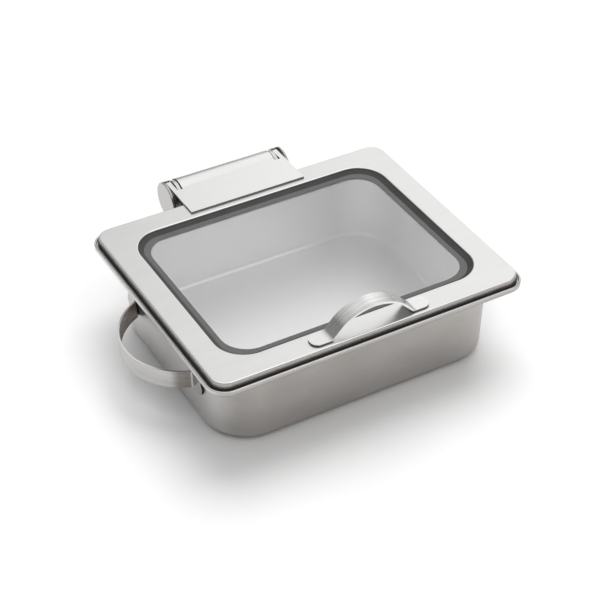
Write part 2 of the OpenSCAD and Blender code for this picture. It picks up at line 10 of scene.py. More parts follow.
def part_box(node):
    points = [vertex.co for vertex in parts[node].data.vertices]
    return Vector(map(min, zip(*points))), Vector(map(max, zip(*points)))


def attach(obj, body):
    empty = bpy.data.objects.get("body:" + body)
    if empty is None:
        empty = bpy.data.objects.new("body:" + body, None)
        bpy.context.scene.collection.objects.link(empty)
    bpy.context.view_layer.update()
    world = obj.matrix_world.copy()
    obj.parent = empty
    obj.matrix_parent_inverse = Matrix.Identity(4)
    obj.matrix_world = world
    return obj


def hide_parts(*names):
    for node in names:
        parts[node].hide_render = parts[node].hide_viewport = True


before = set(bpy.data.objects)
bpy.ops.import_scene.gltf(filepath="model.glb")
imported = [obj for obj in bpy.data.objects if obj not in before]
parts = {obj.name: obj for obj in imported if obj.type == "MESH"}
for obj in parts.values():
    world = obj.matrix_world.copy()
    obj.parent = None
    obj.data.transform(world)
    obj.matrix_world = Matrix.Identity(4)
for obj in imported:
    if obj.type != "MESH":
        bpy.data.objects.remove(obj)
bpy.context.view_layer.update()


# Vessel: one deep-drawn shell of stainless sheet with a ledge and a folded bead round its rim.
# Outside it is satin polished along the walls; the two end walls are painted brighter as reflected light,
# the bead's crown is painted paler as a highlight, and a thin band under the bead is painted dark as
# shade.
# Inside, below the ledge, it is blasted to an even matt, and its near-white colour is partly painted
# light.
BEAD_TALL = 0.0028
BEAD_SHINE = 0.0017
HEM_DROP = 0.0021
HEM_HALF = 0.0007
MOUTH_BLEND = 0.014
LEDGE_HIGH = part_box("pan_shell")[1].z - BEAD_TALL
POLISH_LINES = (0.030, 0.030, 0.0004)
DRAWN_CLOUDS = (0.05, 0.05, 0.03)
BLAST_SPECKS = (0.0008, 0.0008, 0.0008)
WALL_DULL = (0.28, 0.262, 0.245)
WALL_BRIGHT = (0.615, 0.594, 0.573)
# Painted light: the end walls are tinted brighter, standing in for the floor light that they mirror.
END_WALL_PAINTED_LIGHT_DULL = (0.40, 0.39, 0.385)
END_WALL_PAINTED_LIGHT_BRIGHT = (0.80, 0.79, 0.785)
# Painted highlight: the bead's crown is tinted paler so it reads as a bright line; its polish is in the
# roughness.
BEAD_PAINTED_HIGHLIGHT = (0.70, 0.69, 0.68)
# Painted shade: a thin dark band under the bead stands in for the shade below the lip.
HEM_SHADE = (0.08, 0.075, 0.07)
# Inside tints: blasted steel, made near white as painted light for the hollow under the glass.
INSIDE_BLAST_AND_LIGHT_DULL = (0.91, 0.91, 0.91)
INSIDE_BLAST_AND_LIGHT_BRIGHT = (0.97, 0.97, 0.97)
WALL_ROUGH = 0.35
INSIDE_ROUGH = 0.42
INSIDE_SCATTER = 0.38
LEDGE_BLAST = 0.5
HEM_SHARE = 0.45
BEAD_POLISH = 0.15
END_WALL_TURN = (0.3, 0.95)
FACES_IN = -0.001
FACES_UP = 0.5
BOTTOM_FACING = 0.9
SCRATCH = 0.03
SCRATCH_DEEP = 0.0002
UP = (0, 0, 1)
ACROSS = (1, 0, 0)


class Wire:
    """A socket of a material, with the sums that the finishes need and one way to add any node."""

    def __init__(self, tree, socket=None):
        self.tree = tree
        self.socket = socket

    def node(self, kind, settings=None, inputs=None, out=0):
        """Add any node: its settings first, then the values or links of its sockets."""
        made = self.tree.nodes.new("ShaderNode" + kind)
        for name, value in (settings or {}).items():
            setattr(made, name, value)
        for key, value in (inputs or {}).items():
            socket = self.pick(made.inputs, key)
            if isinstance(value, Wire):
                self.tree.links.new(value.socket, socket)
            else:
                socket.default_value = value
        return Wire(self.tree, self.pick(made.outputs, out) if made.outputs else None)

    def pick(self, sockets, key):
        """A socket by its number, its identifier or its name."""
        if isinstance(key, int):
            return sockets[key]
        return next(s for s in sockets if key in (s.identifier, s.name))

    def calc(self, operation, *terms):
        return self.node("Math", {"operation": operation}, dict(enumerate(terms)))

    def __add__(self, other):
        return self.calc("ADD", self, other)

    def __radd__(self, other):
        return self.calc("ADD", other, self)

    def __sub__(self, other):
        return self.calc("SUBTRACT", self, other)

    def __rsub__(self, other):
        return self.calc("SUBTRACT", other, self)

    def __mul__(self, other):
        return self.calc("MULTIPLY", self, other)

    def __rmul__(self, other):
        return self.calc("MULTIPLY", other, self)

    def __gt__(self, other):
        return self.calc("GREATER_THAN", self, other)

    def __lt__(self, other):
        return self.calc("LESS_THAN", self, other)

    def either(self, other):
        """A mask of where this one or another holds."""
        return self.calc("MAXIMUM", self, other)

    def near(self, value, within):
        """1 where this comes within a distance of a value, and 0 elsewhere."""
        return self.calc("COMPARE", self, value, within)

    def ramp(self, start, end, low=0.0, high=1.0, way="SMOOTHSTEP"):
        """From low at start to high at end, and level on both sides of that."""
        return self.node("MapRange", {"interpolation_type": way}, {
            "Value": self, "From Min": start, "From Max": end, "To Min": low, "To Max": high})

    def scaled(self, by):
        return self.node("VectorMath", {"operation": "MULTIPLY"}, {0: self, 1: by}, "Vector")

    def dot(self, other):
        return self.node("VectorMath", {"operation": "DOT_PRODUCT"}, {0: self, 1: other}, "Value")

    def tint(self, low, high):
        """The colour that this value picks between two; each is a colour or a wire that carries one."""
        low, high = (end if isinstance(end, Wire) else (*end, 1) for end in (low, high))
        return self.node("Mix", {"data_type": "RGBA"},
                         {"Factor_Float": self, "A_Color": low, "B_Color": high}, "Result_Color")


def new_finish(name):
    """An empty material, and a wire to add its nodes with."""
    made = bpy.data.materials.new(name)
    made.use_nodes = True
    made.node_tree.nodes.clear()
    return made, Wire(made.node_tree)


def grain(wire, size, detail=3.0, rough=0.55):
    """Even noise whose features have the given size along X, Y and Z."""
    place = wire.node("TexCoord", out="Object")
    stretched = wire.node("Mapping", {"vector_type": "POINT"},
                          {"Vector": place, "Scale": tuple(1 / s for s in size)})
    return wire.node("TexNoise", {}, {
        "Vector": stretched, "Scale": 1.0, "Detail": detail, "Roughness": rough}, "Fac")


def place_and_facing(wire):
    """Where a point of the surface is, and which way the surface faces there."""
    return wire.node("TexCoord", out="Object"), wire.node("TexCoord", out="Normal")


def skin(wire, colour, roughness, height, strength, metallic=1.0, depth=SCRATCH_DEEP):
    """Close a finish with its shader: a colour, a roughness and a fine relief."""
    relief = wire.node("Bump", {}, {"Strength": strength, "Distance": depth, "Height": height})
    shader = wire.node("BsdfPrincipled", {}, {
        "Base Color": colour, "Metallic": metallic, "Roughness": roughness, "Normal": relief})
    wire.node("OutputMaterial", {}, {"Surface": shader})


def dress(finish, *names):
    """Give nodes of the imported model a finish."""
    for name in names:
        for slot in parts[name].material_slots:
            slot.material = finish


def vessel_finish():
    """Polish with painted light and shade outside, and blasting with painted light inside that fades out
    over the ledge.
    """
    made, wire = new_finish("vessel_steel")
    lines = grain(wire, POLISH_LINES, detail=2.0)
    clouds = grain(wire, DRAWN_CLOUDS, detail=4.0)
    blast = grain(wire, BLAST_SPECKS)
    place, facing = place_and_facing(wire)
    height = place.dot(UP)
    upwards = facing.dot(UP)
    sideways = facing.dot(ACROSS)
    outwards = place.scaled((1, 1, 0)).dot(facing)
    bead = height > LEDGE_HIGH + BEAD_SHINE
    # A thin band under the bead, painted dark as shade.
    hem_shade_line = height.near(LEDGE_HIGH - HEM_DROP, HEM_HALF)
    # Painted reflected light: walls that face along X are tinted brighter.
    end_wall_painted_light = (sideways * sideways).ramp(*END_WALL_TURN)
    inward = (outwards < FACES_IN).either(upwards > FACES_UP)
    inside = inward * (1 - bead) * height.ramp(LEDGE_HIGH - MOUTH_BLEND, LEDGE_HIGH, 1.0, LEDGE_BLAST)
    bottom = upwards > BOTTOM_FACING
    tone = 0.35 * clouds + 0.35 * lines + 0.3 * blast
    wall = end_wall_painted_light.tint(tone.tint(WALL_DULL, WALL_BRIGHT), tone.tint(END_WALL_PAINTED_LIGHT_DULL, END_WALL_PAINTED_LIGHT_BRIGHT))
    # The bead's crown takes the painted highlight tint, and the thin band under it the painted shade.
    outer = (HEM_SHARE * hem_shade_line).tint(bead.tint(wall, BEAD_PAINTED_HIGHLIGHT), HEM_SHADE)
    # The blasted inside, partly painted light: tinted near white.
    inner_blast_and_light = (0.6 * clouds + 0.4 * blast).tint(INSIDE_BLAST_AND_LIGHT_DULL, INSIDE_BLAST_AND_LIGHT_BRIGHT)
    polish = WALL_ROUGH + 0.07 * lines + 0.04 * clouds - BEAD_POLISH * bead
    matt = INSIDE_ROUGH + 0.08 * blast + 0.06 * bottom
    skin(wire, inside.tint(outer, inner_blast_and_light), polish * (1 - inside) + matt * inside,
         lines * (1 - inside) + blast * inside, SCRATCH, 1 - INSIDE_SCATTER * inside)
    return made


dress(vessel_finish(), "pan_shell")


# Induction base: a plate of magnetic steel bonded flat under the vessel.
# It is ground, so it is duller and darker than the drawn shell.
BASE_DULL = (0.30, 0.30, 0.31)
BASE_BRIGHT = (0.38, 0.38, 0.39)
BASE_ROUGH = 0.48
BASE_LINES = (0.0005, 0.03, 0.03)
BASE_CLOUDS = (0.04, 0.04, 0.04)
LINE_ROUGH = 0.06
CLOUD_ROUGH = 0.04


def brushed_rough(base, lines, clouds):
    """Roughness of brushed metal: a base that the lines and the clouds raise a little."""
    return base + LINE_ROUGH * lines + CLOUD_ROUGH * clouds


def steel_finish(name, dull, bright, roughness, line_size, cloud_size):
    """Plain metal: fine lines along the grain, soft clouds of tone, and roughness that follows both."""
    made, wire = new_finish(name)
    lines = grain(wire, line_size, detail=2.0)
    clouds = grain(wire, cloud_size, detail=4.0)
    tone = 0.55 * clouds + 0.45 * lines
    base = roughness - (LINE_ROUGH + CLOUD_ROUGH) / 2
    skin(wire, tone.tint(dull, bright), brushed_rough(base, lines, clouds), lines, SCRATCH)
    return made


dress(steel_finish("ground_base_steel", BASE_DULL, BASE_BRIGHT, BASE_ROUGH, BASE_LINES, BASE_CLOUDS),
      "induction_base")


# Side handles: straps of stainless bar bent into a loop, with a round-ended foot welded to the wall.
# The strap is brushed along its length and its long edges are eased.
# Its upper edge is painted pale as a highlight, the loop near the wall and its inner face are painted
# darker and browner as reflected shade, and the round ends of the feet are painted dark as gap shade.
STRAP_WIDE = 0.020
STRAP_THICK = 0.002
STRAP_REACH = 0.0436
LOOP_R = 0.0672
LOOP_BEND_R = 0.004
LOOP_FOOT = 0.0173
WALL_LEAN = 0.0026
WALL_TALL = 0.087
EDGE_EASE = 0.0002
EASE_STEPS = 2
EASE_ANGLE = 40
CORNER_STEP = 6
BEND_STEP = 6
ARC_STEP = 2
TINY = 1e-6
STRAP_LINES = (0.03, 0.03, 0.0009)
STRAP_CLOUDS = (0.03, 0.03, 0.02)
STRAP_DULL = (0.36, 0.35, 0.338)
STRAP_BRIGHT = (0.66, 0.65, 0.635)
# Painted shade: the loop near the wall is tinted dark brown, standing in for the dark wall it mirrors.
BEND_SHADE_DULL = (0.12, 0.104, 0.09)
BEND_SHADE_BRIGHT = (0.36, 0.335, 0.31)
# Painted shade: the inner face is tinted dark brown as the shaded wall it mirrors.
INNER_SHADE_DULL = (0.08, 0.066, 0.054)
INNER_SHADE_BRIGHT = (0.38, 0.34, 0.30)
# Painted highlight: faces that turn upwards are tinted pale.
UPPER_EDGE_HIGHLIGHT = (0.80, 0.79, 0.775)
# Painted shade: the round ends of the feet are tinted near black, as the shade in the gap at the wall.
FOOT_END_SHADE = (0.02, 0.02, 0.02)
STRAP_ROUGH = 0.20
STRAP_SCRATCH = 0.05
BEND_SHADE_START = 0.038
BEND_SHADE_END = 0.048
BEND_SHADE_SHARE = 0.9
CUT_END = 0.058
FOOT_END_SHADE_SHARE = 0.95
INNER_FACE = -0.01
LINE_LOW = 0.32
LINE_HIGH = 0.68


def arc(centre, radius, start, end, outward, step=ARC_STEP):
    """Points along a bend, each with the strap's outer side: start and end are angles in degrees."""
    count = math.ceil(abs(end - start) / step)
    found = []
    for k in range(count + 1):
        a = math.radians(start + (end - start) * k / count)
        ray = Vector((math.cos(a), math.sin(a)))
        found.append((Vector(centre) + radius * ray, ray * outward))
    return found


def foot_run(start, way, normal, length, end_r):
    """Straight foot from the strap's end: points along way, closer together at the round end."""
    steps = [end_r * (1 - math.cos(math.radians(a))) for a in range(0, 91, CORNER_STEP)]
    return [(Vector(start) + Vector(way) * d, Vector(normal)) for d in steps if d < length - TINY]


def both_halves(half, flip):
    """A strap's whole line from the half that ends at its middle: flip takes a point to the other side."""
    return half + [(p * Vector(flip), n * Vector(flip)) for p, n in reversed(half[:-1])]


def half_width(to_end, wide, end_r):
    """Half of a strap's width at a distance from its end, which end_r rounds."""
    if to_end >= end_r:
        return wide / 2
    return wide / 2 - end_r + math.sqrt(max(0.0, end_r ** 2 - (end_r - to_end) ** 2))


def strap(name, line, wide, thick, end_r):
    """A bent strap: line is its middle in plan, wide runs along Z, and end_r rounds its ends."""
    run = [0.0]
    for (a, _), (b, _) in zip(line, line[1:]):
        run.append(run[-1] + (b - a).length)
    mesh = bmesh.new()
    rings = []
    for (p, n), along in zip(line, run):
        half = max(half_width(min(along, run[-1] - along), wide, end_r), EDGE_EASE)
        rings.append([mesh.verts.new((*(p + n * side * thick / 2), up * half))
                      for side, up in ((1, -1), (1, 1), (-1, 1), (-1, -1))])
    for a, b in zip(rings, rings[1:]):
        for k in range(4):
            mesh.faces.new((a[k], a[(k + 1) % 4], b[(k + 1) % 4], b[k]))
    mesh.faces.new(rings[0])
    mesh.faces.new(reversed(rings[-1]))
    bmesh.ops.recalc_face_normals(mesh, faces=mesh.faces)
    data = bpy.data.meshes.new(name)
    mesh.to_mesh(data)
    mesh.free()
    data.shade_smooth()
    made = bpy.data.objects.new(name, data)
    bpy.context.scene.collection.objects.link(made)
    eased = made.modifiers.new("eased_edges", "BEVEL")
    eased.width = EDGE_EASE
    eased.segments = EASE_STEPS
    eased.limit_method = "ANGLE"
    eased.angle_limit = math.radians(EASE_ANGLE)
    eased.harden_normals = True
    return made


def side_loop():
    """The loop in plan, from the wall at x = 0: foot, tight bend, wide arc, and the same again."""
    mid = STRAP_THICK / 2
    inset = LOOP_R - STRAP_REACH
    bend_x = STRAP_THICK + LOOP_BEND_R
    bend_y = math.sqrt((LOOP_R + LOOP_BEND_R) ** 2 - (inset + bend_x) ** 2)
    turn = math.degrees(math.atan2(bend_y, inset + bend_x))
    half = foot_run((mid, -bend_y - LOOP_FOOT), (0, 1), (1, 0), LOOP_FOOT, STRAP_WIDE / 2)
    half += arc((bend_x, -bend_y), LOOP_BEND_R + mid, 180, 180 - turn, -1, BEND_STEP)
    half += arc((-inset, 0), LOOP_R - mid, -turn, 0, 1)[1:]
    return both_halves(half, (1, -1))


def strap_finish():
    """Brushing, with painted shade near the wall, inside and at the ends, and a painted edge highlight."""
    made, wire = new_finish("brushed_strap_steel")
    lines = grain(wire, STRAP_LINES, rough=0.7).ramp(LINE_LOW, LINE_HIGH, way="LINEAR")
    clouds = grain(wire, STRAP_CLOUDS, detail=4.0)
    place, facing = place_and_facing(wire)
    outwards = place.scaled((1, 1, 0)).dot(facing)
    endwards = place.scaled((0, 1, 0)).dot(facing)
    # Painted shade on the loop near the wall, where it mirrors the dark wall.
    bend_shade = endwards.ramp(BEND_SHADE_START, BEND_SHADE_END, high=BEND_SHADE_SHARE)
    tone = 0.5 * clouds + 0.5 * lines
    outer = bend_shade.tint(tone.tint(STRAP_DULL, STRAP_BRIGHT), tone.tint(BEND_SHADE_DULL, BEND_SHADE_BRIGHT))
    # Painted shade on the inner face of the loop.
    face = (outwards < INNER_FACE).tint(outer, tone.tint(INNER_SHADE_DULL, INNER_SHADE_BRIGHT))
    # Painted highlight on the faces that turn upwards.
    with_upper_highlight = (facing.dot(UP) > FACES_UP).tint(face, UPPER_EDGE_HIGHLIGHT)
    # Painted shade at the round ends of the feet.
    colour = (FOOT_END_SHADE_SHARE * (endwards > CUT_END)).tint(with_upper_highlight, FOOT_END_SHADE)
    skin(wire, colour, brushed_rough(STRAP_ROUGH, lines, clouds), lines, STRAP_SCRATCH)
    return made


brushed_strap = strap_finish()
for side, node in ((-1, "left_side_handle"), (1, "right_side_handle")):
    handle = strap("brushed_" + node, side_loop(), STRAP_WIDE, STRAP_THICK, STRAP_WIDE / 2)
    handle.data.transform(Matrix.Rotation(math.atan(WALL_LEAN / WALL_TALL), 4, "Y"))
    low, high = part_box(node)
    reach = max(v.co.x for v in handle.data.vertices)
    outer = high.x if side > 0 else -low.x
    handle.data.transform(Matrix.Translation((outer - reach, 0, (low.z + high.z) / 2)))
    if side < 0:
        handle.data.transform(Matrix.Scale(-1, 4, ACROSS))
        handle.data.flip_normals()
    handle.data.materials.append(brushed_strap)
    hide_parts(node)
    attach(handle, "base")


# Hinge carrier: a folded bracket welded to the back wall and two plate arms bolted to its flanges.
# They are cut from thicker stainless and given a satin finish like the vessel's.
PLATE_DULL = (0.66, 0.65, 0.635)
PLATE_BRIGHT = (0.76, 0.75, 0.735)
PLATE_ROUGH = 0.34
PLATE_LINES = (0.0004, 0.03, 0.03)
PLATE_CLOUDS = (0.03, 0.03, 0.03)
plate_steel = steel_finish("satin_plate_steel", PLATE_DULL, PLATE_BRIGHT, PLATE_ROUGH,
                           PLATE_LINES, PLATE_CLOUDS)
dress(plate_steel, "hinge_bracket", "left_hinge_arm", "right_hinge_arm")


# Fasteners and pin: turned stainless screws, studs and nuts, and the ground pin of the hinge.
# Their faces are bright, with the fine marks that the lathe leaves.
TURNED_DULL = (0.62, 0.62, 0.62)
TURNED_BRIGHT = (0.76, 0.76, 0.76)
TURNED_ROUGH = 0.26
LATHE_MARKS = (0.0006, 0.0006, 0.0006)
LATHE_CLOUDS = (0.004, 0.004, 0.004)
dress(steel_finish("turned_fastener_steel", TURNED_DULL, TURNED_BRIGHT, TURNED_ROUGH,
                   LATHE_MARKS, LATHE_CLOUDS),
      "arm_screws", "arm_nuts", "hinge_pin", "retainer_studs", "retainer_nuts",
      "lid_handle_studs", "lid_handle_nuts", "leaf_studs", "leaf_nuts")


# Dampers: moulded housings, pressed into the roll of the leaf, that turn in grease round drums on the pin.
# They are dark glass-filled plastic with a fine moulded skin.
DAMPER_DARK = (0.018, 0.018, 0.020)
DAMPER_LIGHT = (0.035, 0.035, 0.038)
DAMPER_ROUGH = 0.5
DAMPER_SPECK = 0.0008
MOULD_CLOUDS = (0.02, 0.02, 0.02)
MOULD_RELIEF = 0.15
MOULD_DEEP = 0.0001
SPECK_ROUGH = 0.12


def moulded_finish(name, dark, light, roughness, speck):
    """Moulded plastic or rubber: fine specks of tone and a soft skin."""
    made, wire = new_finish(name)
    specks = grain(wire, (speck, speck, speck))
    clouds = grain(wire, MOULD_CLOUDS, detail=2.0)
    tone = 0.5 * specks + 0.5 * clouds
    skin(wire, tone.tint(dark, light), roughness - SPECK_ROUGH / 2 + SPECK_ROUGH * specks,
         specks, MOULD_RELIEF, metallic=0.0, depth=MOULD_DEEP)
    return made


dress(moulded_finish("damper_plastic_skin", DAMPER_DARK, DAMPER_LIGHT, DAMPER_ROUGH, DAMPER_SPECK),
      "left_damper_rotor", "right_damper_rotor", "left_damper_housing", "right_damper_housing")


# Lid frame: stainless sheet with a window cut in it, turned down at the window and round the outside.
# The top is brushed along its length to a pale satin; the rolled edges are polished and painted paler as a
# highlight.
# The skirt is painted darker as reflected shade, most of all just under the rolled edge,
# and lightens towards its foot as painted light that offsets the shade of the gap there.
LID_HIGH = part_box("lid_frame")[1].z
SKIRT_HEAD = 0.0015
SKIRT_FOOT = 0.007
LID_LINES = (0.035, 0.0006, 0.035)
LID_CLOUDS = (0.05, 0.012, 0.04)
LID_DULL = (0.67, 0.67, 0.655)
LID_BRIGHT = (0.84, 0.84, 0.825)
# Painted shade and light on the skirt: dark just under the rolled edge, lighter towards the foot.
SKIRT_HEAD_SHADE_DULL = (0.40, 0.386, 0.37)
SKIRT_HEAD_SHADE_BRIGHT = (0.50, 0.484, 0.466)
SKIRT_FOOT_LIGHT_DULL = (0.64, 0.616, 0.59)
SKIRT_FOOT_LIGHT_BRIGHT = (0.78, 0.754, 0.726)
# Painted highlight: the rolled edges are tinted paler than the top; their polish is in the roughness.
ROLLED_EDGE_HIGHLIGHT = (0.92, 0.92, 0.91)
LID_ROUGH = 0.26
ROLL_POLISH = 0.12
ROLL_FACING = 0.71
ROLL_SPREAD = 0.26
TOP_FACING = 0.2


def lid_finish():
    """Brushed top, polished rolled edges with a painted highlight, and a skirt with painted shade, told
    apart by how far they face up.
    """
    made, wire = new_finish("brushed_lid_top")
    lines = grain(wire, LID_LINES, rough=0.65)
    clouds = grain(wire, LID_CLOUDS, detail=4.0)
    place, facing = place_and_facing(wire)
    upwards = facing.dot(UP)
    top = upwards * upwards > TOP_FACING
    rolled = upwards.near(ROLL_FACING, ROLL_SPREAD)
    rise = place.dot(UP).ramp(LID_HIGH - SKIRT_FOOT, LID_HIGH - SKIRT_HEAD, way="LINEAR")
    tone = 0.5 * clouds + 0.5 * lines
    # The skirt's painted shade, darkest under the rolled edge and lighter at its foot.
    skirt_painted_shade = rise.tint(tone.tint(SKIRT_FOOT_LIGHT_DULL, SKIRT_FOOT_LIGHT_BRIGHT),
                      tone.tint(SKIRT_HEAD_SHADE_DULL, SKIRT_HEAD_SHADE_BRIGHT))
    sheet = top.tint(skirt_painted_shade, tone.tint(LID_DULL, LID_BRIGHT))
    # The rolled edges take the painted highlight tint.
    skin(wire, rolled.tint(sheet, ROLLED_EDGE_HIGHLIGHT),
         brushed_rough(LID_ROUGH, lines, clouds) - ROLL_POLISH * rolled, lines, SCRATCH)
    return made


dress(lid_finish(), "lid_frame")


# Gasket: an extruded rubber frame that grips the glass, with a sloping face up to the window's edge.
# The grey rubber has a fine powdery skin and is paler on the flat lip over the glass.
# Its upright edge is painted pale as a highlight.
GASKET_SPECKS = (0.0007, 0.0007, 0.0007)
GASKET_DARK = (0.018, 0.018, 0.018)
GASKET_PALE = (0.34, 0.34, 0.335)
GASKET_ROUGH = 0.5
LIP_FACING = 0.95
LIP_PALE = 0.21
EDGE_FACING = 0.2
# Painted highlight: the upright edge of the rubber is tinted pale.
EDGE_PAINTED_HIGHLIGHT = 0.8


def gasket_finish():
    """Dark powdery rubber, with a paler lip and a painted highlight on the upright edge."""
    made, wire = new_finish("grey_gasket_rubber")
    specks = grain(wire, GASKET_SPECKS)
    clouds = grain(wire, MOULD_CLOUDS, detail=2.0)
    upwards = wire.node("TexCoord", out="Normal").dot(UP)
    lip = upwards > LIP_FACING
    # Painted highlight on the upright faces.
    upright_highlight = upwards < EDGE_FACING
    tone = 0.10 * specks + 0.10 * clouds + LIP_PALE * lip + EDGE_PAINTED_HIGHLIGHT * upright_highlight
    skin(wire, tone.tint(GASKET_DARK, GASKET_PALE), GASKET_ROUGH + SPECK_ROUGH * specks,
         specks, MOULD_RELIEF, metallic=0.0, depth=MOULD_DEEP)
    return made


dress(gasket_finish(), "glass_gasket")


# Glass: one flat pane of toughened float glass held in the gasket's slot.
# It is clear, and only its surface gloss shows.
GLASS_IOR = 1.5
GLASS_CLEAR = (0.997, 0.997, 0.997, 1)
GLASS_GLOSS = (1, 1, 1, 1)
GLASS_FILM = (0.03, 0.02, 0.03)
GLASS_ROUGH = 0.02
PANE_FACES = 2


def clear_pane():
    """See-through glass that mirrors more at a slant; the nearer face carries the mirror of both."""
    made, wire = new_finish("clear_float_glass")
    film = grain(wire, GLASS_FILM, detail=2.0)
    outside = 1 - wire.node("NewGeometry", out="Backfacing")
    sheen = PANE_FACES * wire.node("Fresnel", {}, {"IOR": GLASS_IOR}) * outside
    clear = wire.node("BsdfTransparent", {}, {"Color": GLASS_CLEAR})
    gloss = wire.node("BsdfGlossy", {}, {
        "Color": GLASS_GLOSS, "Roughness": GLASS_ROUGH + GLASS_ROUGH * film})
    both = wire.node("MixShader", {}, {0: sheen, 1: clear, 2: gloss})
    wire.node("OutputMaterial", {}, {"Surface": both})
    return made


dress(clear_pane(), "glass_pane")


# Retainer: a folded sheet frame, nutted to studs under the lid, that holds gasket and glass up.
# It is plain satin sheet, like the hinge carrier.
dress(plate_steel, "glass_retainer")


# Lid seal: a black rubber channel pushed over the skirt's lower edge.
# It closes the gap to the ledge when the lid is down.
SEAL_DARK = (0.010, 0.010, 0.010)
SEAL_LIGHT = (0.022, 0.022, 0.022)
SEAL_ROUGH = 0.6
SEAL_SPECK = 0.0006
dress(moulded_finish("black_seal_rubber", SEAL_DARK, SEAL_LIGHT, SEAL_ROUGH, SEAL_SPECK), "lid_seal")


# Lid handle: a strap of stainless bar bent into a low arch, held by two studs from below.
# It is strongly brushed along its length, so the crown catches a broad pale highlight.
# Its flat feet are finer brushed, and their cut edges are painted dark as shade at the lid.
GRIP_WIDE = 0.0176
GRIP_THICK = 0.002
GRIP_HIGH = 0.0265
CROWN_R = 0.053
CROWN_TURN = 33
SHOULDER_R = 0.035
LEG_SLOPE = 46
GRIP_BEND_R = 0.006
GRIP_FOOT = 0.0166
GRIP_CORNER_R = 0.008
FOOT_EDGE = 0.0015
GRIP_LINES = (0.05, 0.0008, 0.05)
GRIP_DULL = (0.58, 0.57, 0.556)
GRIP_BRIGHT = (0.95, 0.95, 0.94)
FOOT_DULL = (0.70, 0.70, 0.685)
FOOT_BRIGHT = (0.80, 0.80, 0.785)
# Painted shade: the cut edges of the feet are tinted near black.
GRIP_FOOT_EDGE_SHADE = (0.03, 0.03, 0.03)
GRIP_ROUGH = 0.30
GRIP_SCRATCH = 0.08
STREAK_SHINE = 0.10
FOOT_FACING = 0.97
FOOT_CUT_FACING = 0.6
GRIP_FOOT_EDGE_SHADE_SHARE = 0.9
GRIP_BEND_STEP = 7


def grip_arch():
    """The arch from the side, over the lid at y = 0: foot, bend, leg, shoulder, crown, and back down."""
    mid = GRIP_THICK / 2
    slope = math.radians(LEG_SLOPE)
    turn = math.radians(CROWN_TURN)
    crown_y = GRIP_HIGH - CROWN_R
    gap = CROWN_R - SHOULDER_R
    shoulder = Vector((gap * math.sin(turn), crown_y + gap * math.cos(turn)))
    leg_top = shoulder + SHOULDER_R * Vector((math.sin(slope), math.cos(slope)))
    leg = (leg_top.y + GRIP_BEND_R * math.cos(slope) - GRIP_THICK - GRIP_BEND_R) / math.sin(slope)
    foot_x = leg_top.x + leg * math.cos(slope) + GRIP_BEND_R * math.sin(slope)
    half = foot_run((foot_x + GRIP_FOOT, mid), (-1, 0), (0, 1), GRIP_FOOT, GRIP_CORNER_R)
    bend = (foot_x, GRIP_THICK + GRIP_BEND_R)
    half += arc(bend, GRIP_BEND_R + mid, 270, 270 - LEG_SLOPE, -1, GRIP_BEND_STEP)
    half += arc(shoulder, SHOULDER_R - mid, 90 - LEG_SLOPE, 90 - CROWN_TURN, 1)
    half += arc((0, crown_y), CROWN_R - mid, 90 - CROWN_TURN, 90, 1)[1:]
    return both_halves(half, (-1, 1))


def grip_finish():
    """Strong brushing along the strap, finer on the feet, and painted shade on the cut edges of the feet.
    """
    made, wire = new_finish("brushed_grip_steel")
    streaks = grain(wire, GRIP_LINES, detail=2.0, rough=0.6).ramp(LINE_LOW, LINE_HIGH, way="LINEAR")
    place, facing = place_and_facing(wire)
    height = place.dot(UP)
    upwards = facing.dot(UP)
    foot = (upwards > FOOT_FACING) * (height < LID_HIGH + GRIP_BEND_R)
    # Painted shade on the low edges of the feet.
    painted_edge_shade = (upwards < FOOT_CUT_FACING) * (height < LID_HIGH + FOOT_EDGE)
    face = foot.tint(streaks.tint(GRIP_DULL, GRIP_BRIGHT), streaks.tint(FOOT_DULL, FOOT_BRIGHT))
    colour = (GRIP_FOOT_EDGE_SHADE_SHARE * painted_edge_shade).tint(face, GRIP_FOOT_EDGE_SHADE)
    skin(wire, colour, GRIP_ROUGH - STREAK_SHINE * streaks, streaks, GRIP_SCRATCH)
    return made


grip = strap("brushed_lid_handle", grip_arch(), GRIP_WIDE, GRIP_THICK, GRIP_CORNER_R)
low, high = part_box("lid_handle")
upright = Matrix.Rotation(math.radians(90), 4, "X")
grip.data.transform(Matrix.Translation((0, (low.y + high.y) / 2, low.z)) @ upright)
grip.data.materials.append(grip_finish())
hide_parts("lid_handle")
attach(grip, "lid")


# Hinge leaf and caps: a plate on the lid whose middle is rolled round the damped barrel.
# It is brushed like the lid, and its cut edges and the walls of its slots are painted dark as shade.
# Two turned caps, a little duller, close the barrel's ends.
LEAF_THICK = 0.0018
LEAF_LINES = (0.035, 0.0005, 0.035)
LEAF_CLOUDS = (0.05, 0.02, 0.02)
LEAF_DULL = (0.75, 0.75, 0.735)
LEAF_BRIGHT = (0.87, 0.87, 0.855)
# Painted shade: the leaf's cut edges and slot walls are tinted dark.
LEAF_EDGE_SHADE = (0.06, 0.055, 0.05)
LEAF_ROUGH = 0.23
RIM_FACING = 0.5
SQUARE_FACING = 0.7
LEAF_EDGE_SHADE_SHARE = 0.85
CAP_DULL = (0.46, 0.45, 0.44)
CAP_BRIGHT = (0.54, 0.53, 0.52)
CAP_ROUGH = 0.30
CAP_LINES = (0.03, 0.0006, 0.0006)
CAP_CLOUDS = (0.02, 0.02, 0.02)


